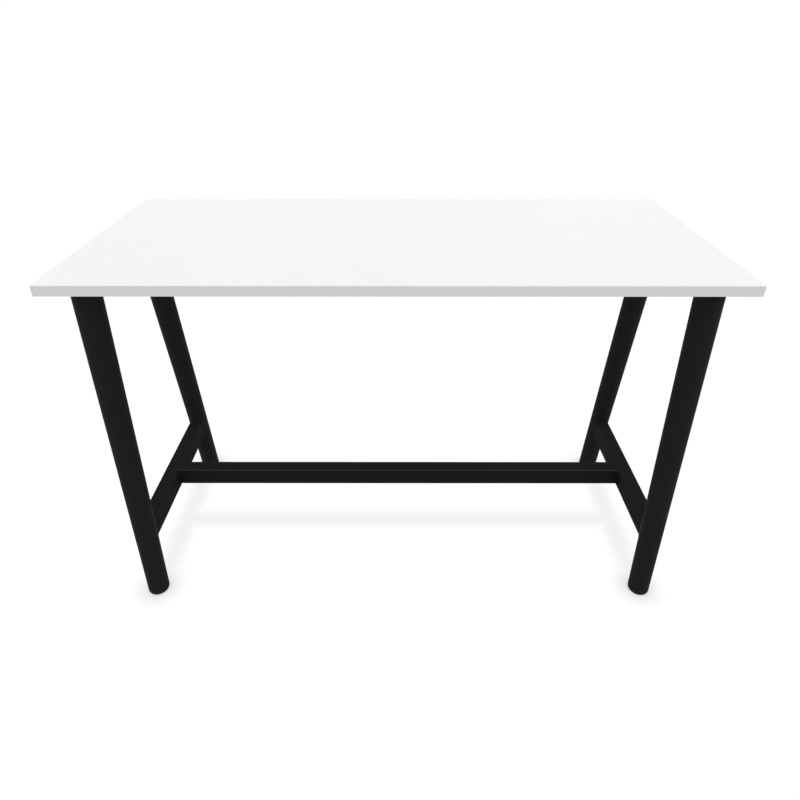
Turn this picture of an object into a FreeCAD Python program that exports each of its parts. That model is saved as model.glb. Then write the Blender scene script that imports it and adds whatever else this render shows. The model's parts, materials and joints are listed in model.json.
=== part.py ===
import FreeCAD, Part
import os
import re

import Sketcher

# High table: a laminated top on two welded side frames, joined by a low stretcher and two beams.
# Millimetres, +Z up, +X along the table, the sitter's front at -Y, origin on the floor at the centre.

Vector = FreeCAD.Vector
Rotation = FreeCAD.Rotation

SIZES = [
    # Table top
    ("top_length", 1600),
    ("top_depth", 700),
    ("top_height", 1050),
    ("top_thickness", 25),
    ("laminate_thickness", 0.8),
    ("edge_band_thickness", 2),
    ("edge_radius", 1.2),
    # Legs: cones whose axes lean in the plane of their side frame
    ("leg_top_diameter", 72),
    ("leg_foot_diameter", 63),
    ("leg_wall", 2.5),
    ("leg_foot_margin", 1.5),
    ("leg_top_setback", 157),
    ("leg_foot_setback", 43.5),
    ("leg_stock_allowance", 40),
    ("leg_cap_thickness", 5),
    # Foot rails and stretcher, one tube section
    ("rail_width", 45),
    ("rail_height", 60),
    ("rail_wall", 2),
    ("rail_corner", 2.5),
    ("rail_top_height", 248),
    ("stretcher_plate_thickness", 6),
    ("stretcher_plate_gap", 0.1),
    ("stretcher_bolt_diameter", 8),
    ("stretcher_bolt_spacing", 30),
    ("stretcher_bolt_runout", 5),
    ("sleeve_wall", 2.5),
    ("washer_diameter", 16),
    ("washer_thickness", 1.6),
    # Crossbars on the leg caps and their end plugs
    ("crossbar_width", 60),
    ("crossbar_height", 30),
    ("crossbar_wall", 2),
    ("crossbar_corner", 3),
    ("crossbar_setback", 75),
    ("plug_flange", 3),
    ("plug_depth", 15),
    ("plug_gap", 0.2),
    # Beams under the top
    ("beam_width", 50),
    ("beam_height", 25),
    ("beam_wall", 2),
    ("beam_corner", 3),
    ("beam_spacing", 240),
    ("beam_plate_length", 100),
    ("beam_plate_thickness", 5),
    ("beam_bolt_diameter", 8),
    ("beam_bolt_spacing", 76),
    ("rivet_nut_diameter", 11),
    ("rivet_nut_length", 16),
    ("rivet_bulge_diameter", 14),
    ("rivet_bulge_length", 5),
    # Bolt heads
    ("bolt_head_diameter", 14),
    ("bolt_head_height", 4.4),
    ("bolt_socket", 5),
    # Screws that hold the top, and their inserts
    ("screw_diameter", 6),
    ("screw_length", 16),
    ("screw_head_diameter", 11),
    ("screw_head_height", 3.5),
    ("screw_socket", 4),
    ("screw_tip_room", 1),
    ("insert_diameter", 10),
    ("insert_length", 13),
    ("crossbar_screw_inner", 100),
    ("crossbar_screw_margin", 29),
    ("beam_screw_spacing", 500),
    ("access_hole", 14),
    # Levelling glides
    ("glide_sole_diameter", 59),
    ("glide_sole_thickness", 2),
    ("glide_sole_chamfer", 0.7),
    ("glide_pivot_diameter", 8),
    ("glide_pivot_length", 5.5),
    ("glide_pivot_gap", 0.1),
    ("glide_base_diameter", 62),
    ("glide_base_thickness", 5),
    ("glide_rim_radius", 1),
    ("glide_hub_diameter", 26),
    ("glide_web", 1.5),
    ("glide_hub_room", 2),
    ("glide_gap", 0.2),
    ("glide_travel", 9),
    ("stud_diameter", 10),
    ("stud_seat_depth", 8),
    ("stud_runout", 5),
    ("stud_chamfer", 1),
    ("foot_plate_thickness", 6),
    ("foot_nut_flats", 17),
    ("foot_nut_height", 8),
    # Fits shared by all fasteners
    ("thread_gap", 0.05),
    ("bolt_hole_gap", 0.3),
]

# Places worked out from the driving sizes, as formulas for the sheet
UNDERSIDE = "(top_height - top_thickness)"
LEG_X = "(top_length / 2 - leg_foot_margin - leg_foot_diameter / 2)"
LEG_RUN = "(leg_top_setback - leg_foot_setback)"
LEG_LENGTH = f"sqrt({UNDERSIDE}^2 + {LEG_RUN}^2)"
LEG_END = "(glide_sole_thickness + glide_base_thickness + 2 * glide_gap)"
LEG_HEAD = f"({UNDERSIDE} - crossbar_height - leg_cap_thickness)"
RAIL_Z = "(rail_top_height - rail_height / 2)"
RAIL_INNER_X = f"({LEG_X} - rail_width / 2)"
RAIL_OUTER_X = f"({LEG_X} + rail_width / 2)"
CROSSBAR_Z = f"({UNDERSIDE} - crossbar_height / 2)"
CROSSBAR_INNER_X = f"({LEG_X} - crossbar_width / 2)"
CROSSBAR_END_Y = "(top_depth / 2 - crossbar_setback)"
BEAM_Z = f"({UNDERSIDE} - beam_height / 2)"
BEAM_END_X = f"({CROSSBAR_INNER_X} - beam_plate_thickness)"
BASE_Z = "(glide_sole_thickness + glide_gap)"
HUB_HEIGHT = "(glide_pivot_length + glide_web + stud_seat_depth)"
STUD_Z = f"({BASE_Z} + glide_pivot_length + glide_web)"
FOOT_PLATE_Z = f"({BASE_Z} + {HUB_HEIGHT} + glide_hub_room)"
FOOT_NUT_Z = f"({FOOT_PLATE_Z} + foot_plate_thickness)"
STUD_LENGTH = f"({FOOT_NUT_Z} + foot_nut_height + glide_travel + stud_runout - {STUD_Z})"
CORE_LENGTH = "(top_length - 2 * edge_band_thickness)"
CORE_DEPTH = "(top_depth - 2 * edge_band_thickness)"

LEAST_RADIUS = 0.2
FLAT = 0.001
SOCKET_SHARE = 0.6
SIDES = {"left": -1, "right": 1}
ENDS = {"front": -1, "rear": 1}
CORNERS = [(end, side) for end in ENDS for side in SIDES]


def leg_y(height):
    """Distance of a leg's axis from the middle plane, at a height above the floor."""
    return f"(top_depth / 2 - leg_foot_setback - {LEG_RUN} * {height} / {UNDERSIDE})"


FLOOR_Y = leg_y("0")
FOOT_Y = leg_y(LEG_END)

doc = FreeCAD.newDocument("HighTable")
sheet = doc.addObject("Spreadsheet::Sheet", "Sizes")
for row, (alias, size) in enumerate(SIZES, start=1):
    sheet.set(f"A{row}", alias.replace("_", " "))
    sheet.set(f"B{row}", str(size))
    sheet.setAlias(f"B{row}", alias)
doc.recompute()

sub_parts = []


def formula(text):
    """A formula on the sheet: every word with an underscore in it is one of the sheet's sizes."""
    return re.sub(r"\b([a-z]+(?:_[a-z]+)+)\b", r"Sizes.\1", text)


def bind(item, **formulas):
    """Tie properties of an item to formulas."""
    for name, text in formulas.items():
        item.setExpression(name, formula(text))


def place(item, x="0", y="0", z="0"):
    """Tie an item's position to formulas, keeping its rotation."""
    for axis, text in (("x", x), ("y", y), ("z", z)):
        item.setExpression(f"Placement.Base.{axis}", formula(text))


def turn(item, axis, degrees):
    item.Placement = FreeCAD.Placement(Vector(), Rotation(axis, degrees))


def keep(item, label):
    """Make an item one of the table's sub-parts."""
    item.Label = label
    sub_parts.append(item)
    return item


# Primitives and booleans


def box(length, width, height, x, y, z):
    item = doc.addObject("Part::Box", "Block")
    bind(item, Length=length, Width=width, Height=height)
    place(item, x, y, z)
    return item


def cylinder(diameter, height, x="0", y="0", z="0"):
    item = doc.addObject("Part::Cylinder", "Round")
    bind(item, Radius=f"({diameter}) / 2", Height=height)
    place(item, x, y, z)
    return item


def hexagon(flats, height, z="0"):
    item = doc.addObject("Part::Prism", "Hexagon")
    item.Polygon = 6
    bind(item, Circumradius=f"({flats}) / 2 / cos(30)", Height=height)
    place(item, z=z)
    return item


def combine(kind, base, tool):
    """A boolean of two items: Cut, Fuse or Common."""
    item = doc.addObject(f"Part::{kind}", kind)
    item.Base = base
    item.Tool = tool
    return item


def ring(outer, bore, height):
    return combine("Cut", cylinder(outer, height), cylinder(bore, height))


# Sketched bodies


def new_body():
    return doc.addObject("PartDesign::Body", "Body")


def sketch_on(body, role):
    """An empty sketch on one of the body's own origin planes."""
    plane = next(item for item in body.Origin.OriginFeatures if item.Role == role)
    sketch = body.newObject("Sketcher::SketchObject", "Sketch")
    sketch.AttachmentSupport = [(plane, "")]
    sketch.MapMode = "FlatFace"
    return sketch


def constrain(sketch, text, *constraint):
    """Add a dimension to a sketch and tie it to a formula."""
    index = sketch.addConstraint(Sketcher.Constraint(*constraint, 1.0))
    sketch.setExpression(f"Constraints[{index}]", formula(text))


def rectangle(sketch, width, height):
    """A rectangle centred on the sketch's origin."""
    first = sketch.GeometryCount
    bottom, right, top, left = range(first, first + 4)
    corners = [Vector(-1, -1), Vector(1, -1), Vector(1, 1), Vector(-1, 1)]
    for start, end in zip(corners, corners[1:] + corners[:1]):
        sketch.addGeometry(Part.LineSegment(start, end))
    for line, following in ((bottom, right), (right, top), (top, left), (left, bottom)):
        sketch.addConstraint(Sketcher.Constraint("Coincident", line, 2, following, 1))
    for line in (bottom, top):
        sketch.addConstraint(Sketcher.Constraint("Horizontal", line))
    for line in (right, left):
        sketch.addConstraint(Sketcher.Constraint("Vertical", line))
    sketch.addConstraint(Sketcher.Constraint("Symmetric", bottom, 1, top, 1, -1, 1))
    constrain(sketch, width, "DistanceX", bottom, 1, bottom, 2)
    constrain(sketch, height, "DistanceY", right, 1, right, 2)


def circle(sketch, diameter, x="0", y="0"):
    index = sketch.addGeometry(Part.Circle(Vector(1, 1), Vector(0, 0, 1), 1))
    constrain(sketch, diameter, "Diameter", index)
    constrain(sketch, x, "DistanceX", -1, 1, index, 3)
    constrain(sketch, y, "DistanceY", -1, 1, index, 3)


def pad(body, sketch, length, side="One side", backwards=False):
    item = body.newObject("PartDesign::Pad", "Pad")
    item.Profile = sketch
    item.SideType = side
    item.Reversed = backwards
    bind(item, Length=length)
    doc.recompute()
    return item


def pocket(body, sketch, depth=None, side="One side", backwards=False):
    """Cut a sketch into the body, to a depth or right through, and make sure that it cut."""
    before = body.Shape.Volume
    item = body.newObject("PartDesign::Pocket", "Pocket")
    item.Profile = sketch
    item.SideType = side
    item.Reversed = backwards
    if depth is None:
        item.Type = "ThroughAll"
    else:
        bind(item, Length=depth)
    doc.recompute()
    if not item.Shape.Volume < before:
        raise RuntimeError(f"a pocket of {body.Label} cuts nothing")
    return item


def round_edges(body, kind, wanted, size):
    """Fillet or chamfer those edges of the body's last feature that pass a test."""
    base = body.Tip
    names = [f"Edge{number}" for number, edge in enumerate(base.Shape.Edges, start=1) if wanted(edge)]
    item = body.newObject(f"PartDesign::{kind}", kind)
    item.Base = (base, names)
    bind(item, **{"Radius" if kind == "Fillet" else "Size": size})
    doc.recompute()
    return item


def runs_along(edge, axis):
    """True for a straight edge parallel to an axis."""
    if edge.Curve.TypeId != "Part::GeomLine":
        return False
    return edge.tangentAt(edge.FirstParameter).cross(axis).Length < FLAT


def hollow_bar(role, axis, prefix, length):
    """A rectangular tube with rounded corners, centred on the origin, along an axis."""
    body = new_body()
    sketch = sketch_on(body, role)
    rectangle(sketch, f"{prefix}_width", f"{prefix}_height")
    rectangle(sketch, f"{prefix}_width - 2 * {prefix}_wall", f"{prefix}_height - 2 * {prefix}_wall")
    tube = pad(body, sketch, length, "Symmetric")

    def from_axis(edge):
        middle = edge.CenterOfMass
        return (middle - axis * middle.dot(axis)).Length

    reach = sorted(from_axis(edge) for edge in tube.Shape.Edges if runs_along(edge, axis))
    between = (reach[0] + reach[-1]) / 2
    inner = f"max({prefix}_corner - {prefix}_wall; {LEAST_RADIUS})"
    round_edges(body, "Fillet", lambda e: runs_along(e, axis) and from_axis(e) < between, inner)
    outer = f"{prefix}_corner"
    round_edges(body, "Fillet", lambda e: runs_along(e, axis) and from_axis(e) > between, outer)
    return body


def plate(role, width, height, thickness, holes, hole_diameter):
    """A flat plate centred on the origin, with round holes at places in its plane."""
    body = new_body()
    outline = sketch_on(body, role)
    rectangle(outline, width, height)
    pad(body, outline, thickness, "Symmetric")
    drilled = sketch_on(body, role)
    for across, up in holes:
        circle(drilled, hole_diameter, across, up)
    pocket(body, drilled, side="Symmetric")
    return body


# Fasteners: one master along +Z for each kind, then linked copies in one group


def socket_bolt(diameter, length, head_diameter, head_height, socket):
    """A cylinder-head bolt with a hexagon socket: the head ends at z = 0, the shank goes up."""
    head = cylinder(head_diameter, head_height, z=f"-({head_height})")
    solid = combine("Fuse", head, cylinder(diameter, length))
    recess = hexagon(socket, f"({head_height}) * {SOCKET_SHARE}", z=f"-({head_height})")
    return combine("Cut", solid, recess)


def group(label, master, places):
    """Copies of a master as one sub-part of separate solids: each place is a turn and x, y, z."""
    copies = []
    for axis, degrees, x, y, z in places:
        copy = doc.addObject("App::Link", f"{label}_copy")
        copy.LinkedObject = master
        turn(copy, axis, degrees)
        place(copy, x, y, z)
        copies.append(copy)
    item = doc.addObject("Part::Compound", label)
    item.Links = copies
    return keep(item, label)


UP = (Vector(0, 0, 1), 0)
TOWARDS = {-1: (Vector(0, 1, 0), -90), 1: (Vector(0, 1, 0), 90)}

crossbar_screw_ys = [
    f"{sign} * {reach}"
    for sign in (-1, 1)
    for reach in ("crossbar_screw_inner / 2", f"({CROSSBAR_END_Y} - crossbar_screw_margin)")
]
beam_screw_xs = [f"{step} * beam_screw_spacing" for step in (-1, 0, 1)]
crossbar_screws = [(f"{sign} * {LEG_X}", y) for sign in SIDES.values() for y in crossbar_screw_ys]
beam_screws = [(x, f"{sign} * beam_spacing / 2") for sign in ENDS.values() for x in beam_screw_xs]
screw_hole = "screw_diameter + 2 * bolt_hole_gap"
bolt_hole = "{}_bolt_diameter + 2 * bolt_hole_gap"


def make_top():
    """Core with insert holes, two laminates and four edge bands."""
    insert_hole = "insert_diameter + 2 * thread_gap"

    core = keep(new_body(), "top_core")
    outline = sketch_on(core, "XY_Plane")
    rectangle(outline, CORE_LENGTH, CORE_DEPTH)
    pad(core, outline, "top_thickness - 2 * laminate_thickness")
    place(core, z=f"{UNDERSIDE} + laminate_thickness")

    backer = keep(new_body(), "underside_laminate")
    outline = sketch_on(backer, "XY_Plane")
    rectangle(outline, CORE_LENGTH, CORE_DEPTH)
    pad(backer, outline, "laminate_thickness")
    place(backer, z=UNDERSIDE)

    hole_depth = "max(screw_length; insert_length) + screw_tip_room - laminate_thickness"
    for body, depth in ((core, hole_depth), (backer, None)):
        drilled = sketch_on(body, "XY_Plane")
        for x, y in crossbar_screws + beam_screws:
            circle(drilled, insert_hole, x, y)
        pocket(body, drilled, depth, backwards=True)

    corner = (f"-{CORE_LENGTH} / 2", f"-{CORE_DEPTH} / 2", "top_height - laminate_thickness")
    keep(box(CORE_LENGTH, CORE_DEPTH, "laminate_thickness", *corner), "top_laminate")

    for end, sign in ENDS.items():
        make_edge_band(f"{end}_edge_band", "top_length", 180 if sign > 0 else 0, y=f"{sign} * {CORE_DEPTH} / 2")
    for side, sign in SIDES.items():
        make_edge_band(f"{side}_edge_band", CORE_DEPTH, 90 * sign, x=f"{sign} * {CORE_LENGTH} / 2")


def make_edge_band(label, length, degrees, x="0", y="0"):
    """A strip whose inner face is at local y = 0, with rounded outer arrises, turned to its side."""
    body = keep(new_body(), label)
    outline = sketch_on(body, "XZ_Plane")
    rectangle(outline, length, "top_thickness")
    strip = pad(body, outline, "edge_band_thickness")
    outer = strip.Shape.BoundBox.YMin
    wraps_corner = length == "top_length"

    def exposed(edge):
        on_face = edge.BoundBox.YMax < outer / 2
        across_end = runs_along(edge, Vector(0, 1, 0))
        return (on_face and (wraps_corner or runs_along(edge, Vector(1, 0, 0)))) or (wraps_corner and across_end)

    round_edges(body, "Fillet", exposed, "edge_radius")
    turn(body, Vector(0, 0, 1), degrees)
    place(body, x, y, f"{UNDERSIDE} + top_thickness / 2")


def make_top_fasteners():
    screw_sizes = ("screw_diameter", "screw_length", "screw_head_diameter", "screw_head_height", "screw_socket")
    screw = socket_bolt(*screw_sizes)
    insert = ring("insert_diameter", "screw_diameter + 2 * thread_gap", "insert_length")
    screw_places = [(*UP, x, y, f"{UNDERSIDE} - crossbar_wall") for x, y in crossbar_screws]
    screw_places += [(*UP, x, y, f"{UNDERSIDE} - beam_wall") for x, y in beam_screws]
    group("top_screws", screw, screw_places)
    group("top_inserts", insert, [(*UP, x, y, UNDERSIDE) for x, y in crossbar_screws + beam_screws])


def leg_cone(end, side, wall):
    """The cone of a leg's outer (no wall) or inner face, longer than the leg at both ends."""
    taper = f"((leg_top_diameter - leg_foot_diameter) / 2 * leg_stock_allowance / {LEG_LENGTH})"
    cone = doc.addObject("Part::Cone", "LegCone")
    bind(
        cone,
        Radius1=f"leg_foot_diameter / 2 - {taper} - {wall}",
        Radius2=f"leg_top_diameter / 2 + {taper} - {wall}",
        Height=f"{LEG_LENGTH} + 2 * leg_stock_allowance",
    )
    turn(cone, Vector(1, 0, 0), 1)
    cone.setExpression("Placement.Rotation.Angle", formula(f"{ENDS[end]} * atan({LEG_RUN} / {UNDERSIDE})"))
    below = f"leg_stock_allowance / {LEG_LENGTH}"
    place(
        cone,
        f"{SIDES[side]} * {LEG_X}",
        f"{ENDS[end]} * ({FLOOR_Y} + {LEG_RUN} * {below})",
        f"-{UNDERSIDE} * {below}",
    )
    return cone


def level_slice(item, end, side, bottom, height):
    """What lies of an item of a leg between two level planes."""
    width = "2 * leg_top_diameter"
    depth = "top_depth"
    x = f"{SIDES[side]} * {LEG_X} - leg_top_diameter"
    y = f"-{depth}" if ENDS[end] < 0 else "0"
    return combine("Common", item, box(width, depth, height, x, y, bottom))


def make_leg(end, side):
    """A conical tube cut level at both ends, its cap and the plate welded into its foot."""
    name = f"{end}_{side}"
    outer = leg_cone(end, side, "0")
    inner = leg_cone(end, side, "leg_wall")
    tube = combine("Cut", outer, inner)
    keep(level_slice(tube, end, side, LEG_END, f"{LEG_HEAD} - {LEG_END}"), f"{name}_leg")
    keep(level_slice(outer, end, side, LEG_HEAD, "leg_cap_thickness"), f"{name}_leg_cap")
    disc = level_slice(inner, end, side, FOOT_PLATE_Z, "foot_plate_thickness")
    centre = (f"{SIDES[side]} * {LEG_X}", f"{ENDS[end]} * {FOOT_Y}", FOOT_PLATE_Z)
    hole = cylinder("stud_diameter + 2 * thread_gap", "foot_plate_thickness", *centre)
    keep(combine("Cut", disc, hole), f"{name}_foot_plate")
    return outer


def make_glide(end, side):
    """A levelling glide: a sole that stays still on the floor, and the base and stud that turn."""
    name = f"{end}_{side}"
    x = f"{SIDES[side]} * {LEG_X}"
    y = f"{ENDS[end]} * {FOOT_Y}"

    def level(edge):
        return edge.BoundBox.ZLength < FLAT

    def add_round(body, diameter, length):
        sketch = sketch_on(body, "XY_Plane")
        circle(sketch, diameter)
        return pad(body, sketch, length)

    sole = keep(new_body(), f"{name}_glide_sole")
    disc = add_round(sole, "glide_sole_diameter", "glide_sole_thickness")
    top = disc.Shape.BoundBox.ZMax
    round_edges(sole, "Chamfer", lambda e: level(e) and e.BoundBox.ZMax < top / 2, "glide_sole_chamfer")
    add_round(sole, "glide_pivot_diameter", "glide_sole_thickness + glide_pivot_length")
    place(sole, x, y)

    base = keep(new_body(), f"{name}_glide_base")
    add_round(base, "glide_base_diameter", "glide_base_thickness")
    round_edges(base, "Fillet", level, "glide_rim_radius")
    add_round(base, "glide_hub_diameter", HUB_HEIGHT)
    bore = sketch_on(base, "XY_Plane")
    circle(bore, "glide_pivot_diameter + 2 * glide_pivot_gap")
    pocket(base, bore, "glide_pivot_length", backwards=True)
    seat = sketch_on(base, "XY_Plane")
    bind(seat, **{"AttachmentOffset.Base.z": HUB_HEIGHT})
    circle(seat, "stud_diameter + 2 * thread_gap")
    pocket(base, seat, "stud_seat_depth")
    place(base, x, y, BASE_Z)

    stud = keep(new_body(), f"{name}_glide_stud")
    add_round(stud, "stud_diameter", STUD_LENGTH)
    round_edges(stud, "Chamfer", level, "stud_chamfer")
    place(stud, x, y, STUD_Z)


def make_foot_nuts():
    bore = cylinder("stud_diameter + 2 * thread_gap", "foot_nut_height")
    nut = combine("Cut", hexagon("foot_nut_flats", "foot_nut_height"), bore)
    places = [
        (*UP, f"{SIDES[side]} * {LEG_X}", f"{ENDS[end]} * {FOOT_Y}", FOOT_NUT_Z) for end, side in CORNERS
    ]
    group("foot_nuts", nut, places)


stretcher_bolt_zs = [f"{sign} * stretcher_bolt_spacing / 2" for sign in (-1, 1)]


def make_foot_rail(side, front_cone, rear_cone):
    """A rectangular tube from leg to leg, its ends cut to the legs, drilled for the stretcher."""
    rail = hollow_bar("XZ_Plane", Vector(0, 1, 0), "rail", f"2 * {leg_y(RAIL_Z)}")
    drilled = sketch_on(rail, "YZ_Plane")
    for z in stretcher_bolt_zs:
        circle(drilled, bolt_hole.format("stretcher"), "0", z)
    pocket(rail, drilled, side="Symmetric")
    place(rail, f"{SIDES[side]} * {LEG_X}", "0", RAIL_Z)
    keep(combine("Cut", combine("Cut", rail, front_cone), rear_cone), f"{side}_foot_rail")


def make_stretcher():
    """The tube between the foot rails and the tapped plates welded into its ends."""
    tube = hollow_bar("YZ_Plane", Vector(1, 0, 0), "rail", f"2 * {RAIL_INNER_X}")
    keep(tube, "stretcher")
    place(tube, z=RAIL_Z)
    inside = "rail_{} - 2 * rail_wall - 2 * stretcher_plate_gap"
    for side, sign in SIDES.items():
        end_plate = plate(
            "YZ_Plane",
            inside.format("width"),
            inside.format("height"),
            "stretcher_plate_thickness",
            [("0", z) for z in stretcher_bolt_zs],
            "stretcher_bolt_diameter + 2 * thread_gap",
        )
        keep(end_plate, f"{side}_stretcher_plate")
        round_edges(end_plate, "Fillet", lambda e: runs_along(e, Vector(1, 0, 0)), "rail_corner")
        place(end_plate, f"{sign} * ({RAIL_INNER_X} - stretcher_plate_thickness / 2)", "0", RAIL_Z)


def make_stretcher_fasteners():
    """Bolts through washers, foot rails and their crush sleeves into the stretcher's plates."""
    reach = "washer_thickness + rail_width + stretcher_plate_thickness + stretcher_bolt_runout"
    bolt = socket_bolt(
        "stretcher_bolt_diameter", reach, "bolt_head_diameter", "bolt_head_height", "bolt_socket"
    )
    hole = bolt_hole.format("stretcher")
    washer = ring("washer_diameter", hole, "washer_thickness")
    sleeve = ring(f"{hole} + 2 * sleeve_wall", hole, "rail_width - 2 * rail_wall")
    bolts, washers, sleeves = [], [], []
    for sign in SIDES.values():
        inwards = TOWARDS[-sign]
        for offset in stretcher_bolt_zs:
            z = f"{RAIL_Z} + {offset}"
            bolts.append((*inwards, f"{sign} * ({RAIL_OUTER_X} + washer_thickness)", "0", z))
            washers.append((*inwards, f"{sign} * ({RAIL_OUTER_X} + washer_thickness)", "0", z))
            sleeves.append((*inwards, f"{sign} * ({RAIL_OUTER_X} - rail_wall)", "0", z))
    group("stretcher_bolts", bolt, bolts)
    group("stretcher_washers", washer, washers)
    group("rail_sleeves", sleeve, sleeves)


beam_bolt_ys = [
    f"{end} * beam_spacing / 2 + {sign} * beam_bolt_spacing / 2" for end in ENDS.values() for sign in (-1, 1)
]


def drill_for_screws(body, places):
    """Screw holes in a bar's upper wall, and wider holes for the driver in its lower wall."""
    for diameter, upwards in ((screw_hole, True), ("access_hole", False)):
        drilled = sketch_on(body, "XY_Plane")
        for x, y in places:
            circle(drilled, diameter, x, y)
        pocket(body, drilled, backwards=upwards)


def make_crossbar(side):
    """A tube across the two leg caps of a side frame, with its plugs."""
    sign = SIDES[side]
    bar = hollow_bar("XZ_Plane", Vector(0, 1, 0), "crossbar", f"2 * {CROSSBAR_END_Y}")
    keep(bar, f"{side}_crossbar")
    drill_for_screws(bar, [("0", y) for y in crossbar_screw_ys])
    nut_holes = sketch_on(bar, "YZ_Plane")
    for y in beam_bolt_ys:
        circle(nut_holes, "rivet_nut_diameter + 2 * thread_gap", y)
    pocket(bar, nut_holes, backwards=sign < 0)
    place(bar, f"{sign} * {LEG_X}", "0", CROSSBAR_Z)
    for end in ENDS:
        make_plug(end, side)


def make_plug(end, side):
    """A plastic plug: a flange with the tube's outline and a stopper inside the tube."""
    plug = keep(new_body(), f"{end}_{side}_crossbar_plug")
    flange = sketch_on(plug, "XZ_Plane")
    rectangle(flange, "crossbar_width", "crossbar_height")
    pad(plug, flange, "plug_flange")
    round_edges(plug, "Fillet", lambda e: runs_along(e, Vector(0, 1, 0)), "crossbar_corner")
    stopper = sketch_on(plug, "XZ_Plane")
    inside = "crossbar_{} - 2 * crossbar_wall - 2 * plug_gap"
    rectangle(stopper, inside.format("width"), inside.format("height"))
    pad(plug, stopper, "plug_depth", backwards=True)

    def on_stopper(edge):
        return runs_along(edge, Vector(0, 1, 0)) and edge.CenterOfMass.y > 0

    round_edges(plug, "Fillet", on_stopper, f"max(crossbar_corner - crossbar_wall; {LEAST_RADIUS})")
    turn(plug, Vector(0, 0, 1), 180 if ENDS[end] > 0 else 0)
    place(plug, f"{SIDES[side]} * {LEG_X}", f"{ENDS[end]} * {CROSSBAR_END_Y}", CROSSBAR_Z)


def make_beam(end):
    """A tube under the top from crossbar to crossbar, with a bolting plate on each end."""
    y = f"{ENDS[end]} * beam_spacing / 2"
    beam = hollow_bar("YZ_Plane", Vector(1, 0, 0), "beam", f"2 * {BEAM_END_X}")
    keep(beam, f"{end}_beam")
    drill_for_screws(beam, [(x, "0") for x in beam_screw_xs])
    place(beam, "0", y, BEAM_Z)
    for side, sign in SIDES.items():
        end_plate = plate(
            "YZ_Plane",
            "beam_plate_length",
            "crossbar_height",
            "beam_plate_thickness",
            [(f"{step} * beam_bolt_spacing / 2", "0") for step in (-1, 1)],
            bolt_hole.format("beam"),
        )
        keep(end_plate, f"{end}_beam_{side}_plate")
        place(end_plate, f"{sign} * ({CROSSBAR_INNER_X} - beam_plate_thickness / 2)", y, CROSSBAR_Z)


def make_beam_fasteners():
    """Bolts from the beam plates into rivet nuts set in the crossbars' inner walls."""
    reach = "beam_plate_thickness + rivet_nut_length"
    bolt = socket_bolt(
        "beam_bolt_diameter", reach, "bolt_head_diameter", "bolt_head_height", "bolt_socket"
    )
    body = cylinder("rivet_nut_diameter", "rivet_nut_length")
    bulge = cylinder("rivet_bulge_diameter", "rivet_bulge_length", z="crossbar_wall")
    bore = cylinder("beam_bolt_diameter + 2 * thread_gap", "rivet_nut_length")
    nut = combine("Cut", combine("Fuse", body, bulge), bore)
    bolts, nuts = [], []
    for sign in SIDES.values():
        for y in beam_bolt_ys:
            bolts.append((*TOWARDS[sign], f"{sign} * {BEAM_END_X}", y, CROSSBAR_Z))
            nuts.append((*TOWARDS[sign], f"{sign} * {CROSSBAR_INNER_X}", y, CROSSBAR_Z))
    group("beam_bolts", bolt, bolts)
    group("beam_rivet_nuts", nut, nuts)


make_top()
make_top_fasteners()
cones = {(end, side): make_leg(end, side) for end, side in CORNERS}
for end, side in CORNERS:
    make_glide(end, side)
make_foot_nuts()
for side in SIDES:
    make_foot_rail(side, cones["front", side], cones["rear", side])
    make_crossbar(side)
make_stretcher()
make_stretcher_fasteners()
for end in ENDS:
    make_beam(end)
make_beam_fasteners()
doc.recompute()

for item in doc.Objects:
    if "Invalid" in item.State or "Error" in item.State:
        raise RuntimeError(f"{item.Label} failed: {item.State}")
for item in sub_parts:
    if item.Shape.isNull() or not item.Shape.isValid():
        raise RuntimeError(f"{item.Label} has no valid shape")

os.makedirs("parts", exist_ok=True)
for item in sub_parts:
    item.Shape.exportStep(f"parts/{item.Label}.step")
    solids = len(item.Shape.Solids)
    print(f"{item.Label}: {solids} solid{'s' if solids > 1 else ''}, {item.Shape.Volume / 1000:.1f} cm3")
print(f"{len(sub_parts)} sub-parts")
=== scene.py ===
# %% [markdown]
# A high table: a white laminated top on two black welded side frames, which a low stretcher and two
# hidden beams join. The frame below is the measured construction. This lesson adds what only the eye
# needs: finishes, weld beads, turned and moulded small parts, a camera and soft studio light.

# %% Load the measured frame
import json
import math

import bpy
import numpy as np
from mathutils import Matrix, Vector


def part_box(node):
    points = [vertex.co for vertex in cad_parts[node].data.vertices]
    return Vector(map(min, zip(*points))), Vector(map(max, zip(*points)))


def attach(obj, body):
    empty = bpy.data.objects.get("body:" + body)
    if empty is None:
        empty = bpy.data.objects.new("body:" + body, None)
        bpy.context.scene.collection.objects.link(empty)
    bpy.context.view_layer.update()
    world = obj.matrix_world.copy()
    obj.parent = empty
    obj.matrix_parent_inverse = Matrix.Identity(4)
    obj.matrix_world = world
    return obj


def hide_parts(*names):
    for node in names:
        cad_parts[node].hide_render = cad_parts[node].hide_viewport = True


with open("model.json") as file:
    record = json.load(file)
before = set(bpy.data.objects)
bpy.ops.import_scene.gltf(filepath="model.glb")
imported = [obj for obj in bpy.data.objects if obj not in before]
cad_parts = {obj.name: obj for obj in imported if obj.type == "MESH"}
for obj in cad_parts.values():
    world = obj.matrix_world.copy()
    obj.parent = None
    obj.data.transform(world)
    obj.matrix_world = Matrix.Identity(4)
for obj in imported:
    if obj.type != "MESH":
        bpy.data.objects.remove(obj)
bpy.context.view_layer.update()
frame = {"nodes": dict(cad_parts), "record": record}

nodes = frame["nodes"]
ENDS = {"front": -1, "rear": 1}
SIDES = {"left": -1, "right": 1}
CORNERS = [(end, side) for end in ENDS for side in SIDES]
MM = 0.001

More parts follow.
